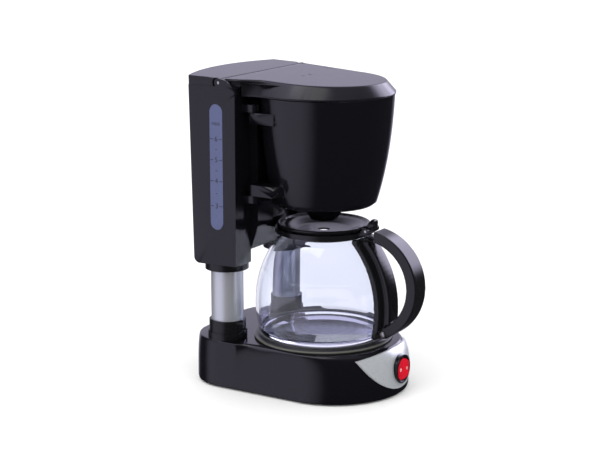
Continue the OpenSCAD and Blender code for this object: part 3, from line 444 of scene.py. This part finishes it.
def apply_modifiers(shown):
    """Bakes an object's modifiers into its mesh."""
    seen = shown.evaluated_get(bpy.context.evaluated_depsgraph_get())
    shown.data = bpy.data.meshes.new_from_object(seen)
    shown.modifiers.clear()


print("the lathe is ready")

# %% [markdown]
# ## Cross-head screws
# A domed head is turned with its shank, and two crossed slots are cut from it. The one on the handle lies
# on its side, because it goes through the grip.

# %% Cross-head screws
def screw_head(name, radius, height, shank_r, shank_l):
    """A domed head on +Z with a cross recess, and its shank below."""
    dome = [(radius * math.cos(a), height * (0.35 + 0.65 * math.sin(a)))
            for a in [math.radians(10 * k) for k in range(10)]]
    head = lathe(name, [(0, -shank_l), (shank_r, -shank_l), (shank_r, 0), (radius * 0.96, 0)] + dome[:-1]
                 + [(0, height)])
    slot_w, slot_l, slot_d = radius * 0.26, radius * 1.1, height * 0.75
    for turn in (0, 90):
        slot = bpy.data.objects.new("slot", bpy.data.meshes.new("slot"))
        cut = bmesh.new()
        bmesh.ops.create_cube(cut, size=1.0)
        bmesh.ops.scale(cut, vec=(slot_l, slot_w, slot_d * 2), verts=cut.verts)
        bmesh.ops.rotate(cut, matrix=Matrix.Rotation(math.radians(turn), 3, "Z"), verts=cut.verts)
        bmesh.ops.translate(cut, vec=(0, 0, height), verts=cut.verts)
        cut.to_mesh(slot.data)
        cut.free()
        bpy.context.scene.collection.objects.link(slot)
        recess = head.modifiers.new("recess", "BOOLEAN")
        recess.object, recess.operation, recess.solver = slot, "DIFFERENCE", "EXACT"
        apply_modifiers(head)
        bpy.data.objects.remove(slot)
    smooth_by_angle(head)
    head.data.materials.clear()
    head.data.materials.append(finishes["steel"])
    return head


handle_low, handle_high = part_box("handle_screw")
head_r = (handle_high.z - handle_low.z) / 2
screw = screw_head("handle_screw_head", head_r, 1.2 * MM, 1.45 * MM, 17 * MM)
screw.data.transform(Matrix.Translation((handle_low.x + 1.2 * MM, (handle_low.y + handle_high.y) / 2,
                                         (handle_low.z + handle_high.z) / 2))
                     @ Matrix.Rotation(math.radians(-90), 4, "Y"))
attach(screw, "jug")
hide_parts("handle_screw")
print(f"handle screw head {2 * head_r / MM:.1f} mm across")

# %% [markdown]
# ## Feet and bottom screws
# One foot and one screw are made, and repeated at each of the spots where the packed model has them.

# %% Feet and bottom screws
# The feet and the screws stand at the same spots as in the packed model
FOOT_SPOTS = [(-46, 64.25), (46, 64.25), (-40, -43.75), (40, -43.75)]
SCREW_SPOTS = [(-50, 14.25), (50, 14.25), (-24, 84.25), (24, 84.25)]


def repeat_at(piece, spots, height):
    """Makes one mesh that holds the piece at every spot, given in millimetres."""
    whole = bmesh.new()
    for x, y in spots:
        before = len(whole.verts)
        whole.from_mesh(piece.data)
        whole.verts.ensure_lookup_table()
        bmesh.ops.translate(whole, vec=(x * MM, y * MM, height), verts=whole.verts[before:])
    whole.to_mesh(piece.data)
    whole.free()
    smooth_by_angle(piece)


foot_low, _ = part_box("rubber_feet")
foot_outline = [(0, 0.5), (3.0, 0.5), (3.4, 0), (4.4, 0), (4.7, 0.4), (5.2, 0.4), (5.5, 0), (6.3, 0),
                (6.95, 0.65), (6.95, 3.0), (2.45, 3.0), (2.45, 5.0), (0, 5.0)]
feet = lathe("grip_feet", [(r * MM, h * MM) for r, h in foot_outline])
repeat_at(feet, FOOT_SPOTS, foot_low.z)
feet.data.materials.append(finishes["rubber"])
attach(feet, "frame")
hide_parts("rubber_feet")

screws_low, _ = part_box("bottom_screws")
HEAD_H = 2.0 * MM
bottom = screw_head("bottom_screw_heads", 2.8 * MM, HEAD_H, 1.5 * MM, 14 * MM)
bottom.data.transform(Matrix.Rotation(math.radians(180), 4, "X"))
repeat_at(bottom, SCREW_SPOTS, screws_low.z + HEAD_H)
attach(bottom, "frame")
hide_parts("bottom_screws")
print(f"{len(FOOT_SPOTS)} feet and {len(SCREW_SPOTS)} screws under the base")

# %% [markdown]
# ## Taking a node's place
# Some nodes get a finer piece in their place. The piece rides on the same body and keeps the same slot,
# and both are looked up in the record.

# %% Take a node's place
body_of = {name: body for body, held in frame["record"]["behaviour"]["bodies"].items() for name in held}
slot_of = {part["node"]: part["material_slot"] for part in frame["record"]["subparts"]}
skins = {}


def put_on(made, node_name):
    skins[node_name] = made
    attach(made, body_of[node_name])
    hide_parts(node_name)


print(f"{len(body_of)} nodes have a body and {len(slot_of)} a slot")

# %% [markdown]
# ## Smooth copies
# A moulded surface is a smooth curve, but the packed mesh is made of flat faces. Each curved node gets a
# copy with the same points, whose shading runs on across shallow edges and stops at sharp ones. Large
# faces count most in the shading, which keeps flat tops flat.

# %% Smooth the curved nodes
CURVED = ["base_housing", "front_trim", "top_cover", "tank_lid", "tank_housing", "filter_basket", "hot_hose",
          "cold_hose", "jug_collar", "jug_lid", "hot_plate", "column_tubes", "lower_collars",
          "upper_collars", "switch_body", "switch_rocker", "water_gauge", "drip_plunger"]


def copy_of(node_name):
    """A copy of a node's mesh, with doubled points joined, in the node's finish."""
    source = nodes[node_name]
    made = bpy.data.objects.new(f"{node_name}_skin", source.data.copy())
    made.matrix_world = source.matrix_world
    bpy.context.scene.collection.objects.link(made)
    joined = bmesh.new()
    joined.from_mesh(made.data)
    bmesh.ops.remove_doubles(joined, verts=joined.verts, dist=0.002 * MM)
    joined.to_mesh(made.data)
    joined.free()
    made.data.materials.clear()
    made.data.materials.append(finishes[slot_of[node_name]])
    return made


WINDOW_BACK = 0.1 * MM
for node_name in CURVED:
    skin = copy_of(node_name)
    smooth_by_angle(skin, 32)
    even = skin.modifiers.new("large faces first", "WEIGHTED_NORMAL")
    even.keep_sharp = True
    apply_modifiers(skin)
    if node_name == "water_gauge":
        # The window sits a little back in its slot, which leaves room for the print on it
        skin.data.transform(Matrix.Translation((WINDOW_BACK, 0, 0)))
    put_on(skin, node_name)
print(f"{len(CURVED)} smooth copies")

# %% [markdown]
# ## Turning the glass again
# Light that is bent twice shows every flat face of the wall. So the half outline is read off the packed
# mesh, by walking the edges that lie in a plane through the axis, and is turned in many small steps.

# %% Turn the glass again
GLASS_TURNS = 288


def outline_of(shown, axis_y):
    """The (radius, height) points of a turned mesh, in metres, from one end of its half outline."""
    def flat(point):
        return round(math.hypot(point.x, point.y - axis_y) / MM, 2), round(point.z / MM, 2)

    points = shown.data.vertices
    beside = {}
    for edge in shown.data.edges:
        a, b = (points[i].co for i in edge.vertices)
        turn = abs(math.atan2(a.y - axis_y, a.x) - math.atan2(b.y - axis_y, b.x))
        if flat(a) != flat(b) and (turn < 0.002 or min(flat(a)[0], flat(b)[0]) < 0.05):
            beside.setdefault(flat(a), set()).add(flat(b))
            beside.setdefault(flat(b), set()).add(flat(a))
    here = min((p for p in beside if len(beside[p]) == 1), key=lambda p: p[1])
    walked = [here]
    while ahead := [p for p in beside[here] if p not in walked]:
        here = min(ahead, key=lambda p: math.dist(p, here))
        walked.append(here)
    ends = [(0, walked[0][1])] if walked[0][0] > 0 else [], [(0, walked[-1][1])] if walked[-1][0] > 0 else []
    return [(r * MM, z * MM) for r, z in ends[0] + walked + ends[1]]


glass_low, glass_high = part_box("jug_glass")
jug_axis_y = (glass_low.y + glass_high.y) / 2
half = outline_of(nodes["jug_glass"], jug_axis_y)
glass = lathe("jug_glass_skin", half, GLASS_TURNS)
glass.data.transform(Matrix.Translation((0, jug_axis_y, 0)))
smooth_by_angle(glass, 40)
glass.data.materials.append(finishes["jug_glass"])
put_on(glass, "jug_glass")
print(f"glass outline of {len(half)} points, {max(r for r, _ in half) / MM:.1f} mm at its widest")

# %% [markdown]
# ## Rounding the handle's edges
# A grip has no sharp edge. Its copy is rebuilt from fine cells and relaxed, which rounds the edges by about
# a millimetre, and no point may leave the handle's own box.

# %% Round the handle's edges
grip = copy_of("jug_handle")
cells = grip.modifiers.new("fine cells", "REMESH")
cells.mode, cells.voxel_size = "VOXEL", 0.6 * MM
relaxed = grip.modifiers.new("relaxed", "SMOOTH")
relaxed.factor, relaxed.iterations = 0.5, 6
apply_modifiers(grip)
grip.data.shade_smooth()
grip_low, grip_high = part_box("jug_handle")
for point in grip.data.vertices:
    for axis in range(3):
        point.co[axis] = min(max(point.co[axis], grip_low[axis]), grip_high[axis])
put_on(grip, "jug_handle")
print(f"handle of {len(grip.data.polygons)} faces")

# %% [markdown]
# ## Marks
# The rocker carries a ring for off and a bar for on, and the gauge carries lines and numbers for the
# cups. All are pad printed: a flat shape pressed onto the surface. So a flat mesh is made first, and then
# each of its points slides along one direction until it meets the part.

# %% Print ink
def ink(name, colour):
    made, tree, shader, place = start_finish(name, colour, 0.45, IOR=1.48)
    grain(tree, shader, place, 0.5, 0.003, (0.38, 0.55))
    return made


bpy.context.view_layer.update()
dark_ink, white_ink = ink("dark pad-print ink", "#171a2b"), ink("white pad-print ink", "#f1e9e6")
INK_PROUD = 0.05 * MM
INK_THICK = 0.04 * MM


def press_on(name, flat, node_name, along, body, colour):
    """Slides a flat bmesh along a direction onto a node, gives it a thin back, and prints it there."""
    target = skins[node_name]
    along = Vector(along).normalized()
    face_points = list(flat.verts)
    for point in face_points:
        hit, where, _, _ = target.ray_cast(point.co - along * 0.05, along)
        if hit:
            point.co = where - along * INK_PROUD
    walls = bmesh.ops.extrude_face_region(flat, geom=list(flat.faces))
    for item in walls["geom"]:
        if isinstance(item, bmesh.types.BMVert):
            item.co += along * INK_THICK
    bmesh.ops.recalc_face_normals(flat, faces=flat.faces)
    data = bpy.data.meshes.new(name)
    flat.to_mesh(data)
    flat.free()
    made = bpy.data.objects.new(name, data)
    bpy.context.scene.collection.objects.link(made)
    data.materials.append(colour)
    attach(made, body)
    return made


print(dark_ink.name, "and", white_ink.name)

# %% [markdown]
# ## The rocker's ring and bar
# The ring for off is on the left as one faces the switch, and the bar for on is on the right.

# %% The rocker's ring and bar
rocker_low, rocker_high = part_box("switch_rocker")
rocker_x = (rocker_low.x + rocker_high.x) / 2
rocker_z = (rocker_low.z + rocker_high.z) / 2
FRONT_WAY = (0, 1, 0)
MARK_OFFSET = 4.0 * MM

ring = bmesh.new()
RING_OUT, RING_IN, RING_STEPS = 1.3 * MM, 0.88 * MM, 40
loops = [[ring.verts.new((rocker_x - MARK_OFFSET + r * math.cos(2 * math.pi * i / RING_STEPS),
                          rocker_low.y, rocker_z + r * math.sin(2 * math.pi * i / RING_STEPS)))
          for i in range(RING_STEPS)] for r in (RING_OUT, RING_IN)]
for i in range(RING_STEPS):
    j = (i + 1) % RING_STEPS
    ring.faces.new((loops[0][i], loops[0][j], loops[1][j], loops[1][i]))
press_on("off_mark", ring, "switch_rocker", FRONT_WAY, "rocker", white_ink)

bar = bmesh.new()
BAR_L, BAR_W, BAR_STEPS = 2.6 * MM, 0.45 * MM, 6
ends = [[bar.verts.new((rocker_x + MARK_OFFSET + side * BAR_W / 2, rocker_low.y,
                        rocker_z + BAR_L * (i / BAR_STEPS - 0.5))) for i in range(BAR_STEPS + 1)]
        for side in (-1, 1)]
for i in range(BAR_STEPS):
    bar.faces.new((ends[0][i], ends[1][i], ends[1][i + 1], ends[0][i + 1]))
press_on("on_mark", bar, "switch_rocker", FRONT_WAY, "rocker", white_ink)
print(f"ring {2 * RING_OUT / MM:.1f} mm across, bar {BAR_L / MM:.1f} mm long")

# %% [markdown]
# ## The gauge's lines and numbers
# The marks stand for cups, so their heights are given one by one. Half cups get a short line of their own.

# %% The gauge's lines and numbers
gauge_low, gauge_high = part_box("water_gauge")
gauge_y, SIDE_WAY = (gauge_low.y + gauge_high.y) / 2, (1, 0, 0)
CUP_HEIGHTS = {"3": 157.6 * MM, "4": 178.5 * MM, "5": 196.0 * MM, "6": 213.3 * MM}
LINE_W, LINE_L = 0.6 * MM, 2.8 * MM


def gauge_line(name, y, z, length):
    line = bmesh.new()
    corners = [(y - length / 2, z - LINE_W / 2), (y + length / 2, z - LINE_W / 2),
               (y + length / 2, z + LINE_W / 2), (y - length / 2, z + LINE_W / 2)]
    line.faces.new([line.verts.new((gauge_low.x, a, b)) for a, b in corners])
    return press_on(name, line, "water_gauge", SIDE_WAY, "frame", dark_ink)


def gauge_word(name, word, y, z, height):
    """Numbers come from the built-in font, turned to face the -X side."""
    text = bpy.data.curves.new(name, "FONT")
    text.body, text.size, text.align_x, text.align_y = word, height * 1.4, "CENTER", "CENTER"
    maker = bpy.data.objects.new(name, text)
    bpy.context.scene.collection.objects.link(maker)
    seen = maker.evaluated_get(bpy.context.evaluated_depsgraph_get())
    flat = bmesh.new()
    flat.from_mesh(bpy.data.meshes.new_from_object(seen))
    bpy.data.objects.remove(maker)
    upright = Matrix.Translation((gauge_low.x, y, z)) @ Matrix.Rotation(math.radians(-90), 4, "Z") \
        @ Matrix.Rotation(math.radians(90), 4, "X")
    bmesh.ops.transform(flat, matrix=upright, verts=flat.verts)
    return press_on(name, flat, "water_gauge", SIDE_WAY, "frame", dark_ink)


for word, z in CUP_HEIGHTS.items():
    gauge_word(f"cups_{word}", word, gauge_y, z, 4.4 * MM)
    for side in (-1, 1):
        gauge_line(f"line_{word}_{'rear' if side > 0 else 'front'}", gauge_y + side * 4.3 * MM, z, LINE_L)
gauge_word("cups_most", "MAX", gauge_y, 225.6 * MM, 2.7 * MM)
heights = sorted(CUP_HEIGHTS.values())
for low, high in zip(heights, heights[1:]):
    gauge_line(f"half_cup_{low / MM:.0f}", gauge_y, (low + high) / 2, 1.6 * MM)
print(f"gauge marks from {min(CUP_HEIGHTS.values()) / MM:.0f} to {max(CUP_HEIGHTS.values()) / MM:.0f} mm")

# %% [markdown]
# ## The studio
# Gloss black shows nothing but its surroundings, so the surroundings are the real subject. The floor is
# pale and the ambient light is white. What mirrors see is a darker room with a few broad soft panels, as
# in a studio hung with black cloth. Directions are fixed in the room, so other views see the same room.

# %% Floor
FLOOR_HALF = 30.0
floor_data = bpy.data.meshes.new("pale floor")
floor_data.from_pydata([(x * FLOOR_HALF, y * FLOOR_HALF, 0) for x, y in ((-1, -1), (1, -1), (1, 1), (-1, 1))],
                       [], [(0, 1, 2, 3)])
floor = bpy.data.objects.new("pale floor", floor_data)
bpy.context.scene.collection.objects.link(floor)
floor_paint, _, floor_shader, _ = start_finish("pale matt paper", "#ececec", 0.9)
floor_shader.inputs["Specular IOR Level"].default_value = 0.0
floor_data.materials.append(floor_paint)
floor.visible_glossy = False
print(f"floor {2 * FLOOR_HALF:.0f} m across")

# %% [markdown]
# ## The room
# A ray that was mirrored on its way, and not scattered, sees the dark room and its panels. Every other ray
# sees plain white, which is also what lights matt things and the floor.

# %% Room
room = bpy.data.worlds.new("soft studio")
room.use_nodes = True
bpy.context.scene.world = room
web = room.node_tree
web.nodes.clear()
way = add(web, "ShaderNodeTexCoord").outputs["Generated"]
ROOM_DARK = 0.045
AMBIENT = 1.45
# Each panel: the way it lies in, the cosines at its outer and inner edge, and its brightness
PANELS = [
    ((-0.84, 0.50, -0.12), (0.62, 0.96), 0.95),
    ((0.80, 0.55, 0.20), (0.70, 0.95), 0.95),
    ((0.88, -0.22, 0.36), (0.90, 0.97), 5.0),
    ((-0.30, 0.55, 0.78), (0.90, 0.98), 1.6),
    ((0.0, 0.0, 1.0), (0.5, 0.95), 0.5),
]
total = None
for way_to, (outer, inner), bright in PANELS:
    near = add(web, "ShaderNodeVectorMath", {"operation": "DOT_PRODUCT", 1: Vector(way_to).normalized()},
               {0: way})
    soft = add(web, "ShaderNodeMapRange", {"interpolation_type": "SMOOTHSTEP", "From Min": outer,
                                           "From Max": inner, "To Min": 0.0, "To Max": bright},
               {"Value": near.outputs["Value"]})
    joined = {0: soft.outputs["Result"]}
    if total is not None:
        joined[1] = total
    total = add(web, "ShaderNodeMath", {"operation": "ADD"} if total else {"operation": "ADD", 1: ROOM_DARK},
                joined).outputs["Value"]
mirrored = add(web, "ShaderNodeBackground", {"Color": linear("#dcd8f2")}, {"Strength": total})
ambient = add(web, "ShaderNodeBackground", {"Color": linear("#ffffff"), "Strength": AMBIENT})
path = add(web, "ShaderNodeLightPath")
mirrored_once = add(web, "ShaderNodeMath", {"operation": "GREATER_THAN", 1: 0.5},
                    {0: path.outputs["Glossy Depth"]})
not_scattered = add(web, "ShaderNodeMath", {"operation": "LESS_THAN", 1: 0.5},
                    {0: path.outputs["Diffuse Depth"]})
in_mirror = add(web, "ShaderNodeMath", {"operation": "MULTIPLY"},
                {0: mirrored_once.outputs["Value"], 1: not_scattered.outputs["Value"]})
chosen = add(web, "ShaderNodeMixShader", {}, {0: in_mirror.outputs["Value"], 1: ambient.outputs[0],
                                              2: mirrored.outputs[0]})
add(web, "ShaderNodeOutputWorld", {}, {"Surface": chosen.outputs[0]})
bpy.context.scene.view_settings.view_transform = "Standard"
print(f"{len(PANELS)} soft panels in the room")

# %% [markdown]
# ## The key light
# One large soft lamp above gives the faint shadow that sets the machine on the floor.

# %% Key light
KEY_AT, KEY_WATTS = (-0.5, 0.1, 1.3), 2.6
key_data = bpy.data.lights.new("overhead softbox", "AREA")
key_data.shape, key_data.size, key_data.size_y, key_data.energy = "RECTANGLE", 0.9, 0.6, KEY_WATTS
key = bpy.data.objects.new("overhead softbox", key_data)
key.location = KEY_AT
key.rotation_euler = Vector((-0.5, 0.1, 1.15)).to_track_quat("Z", "Y").to_euler()
bpy.context.scene.collection.objects.link(key)
print(f"key light {key_data.size} by {key_data.size_y} m, {KEY_WATTS} W")

# %% [markdown]
# ## The size
# The machine's box is measured once, at the start, before the finishes and marks are added.
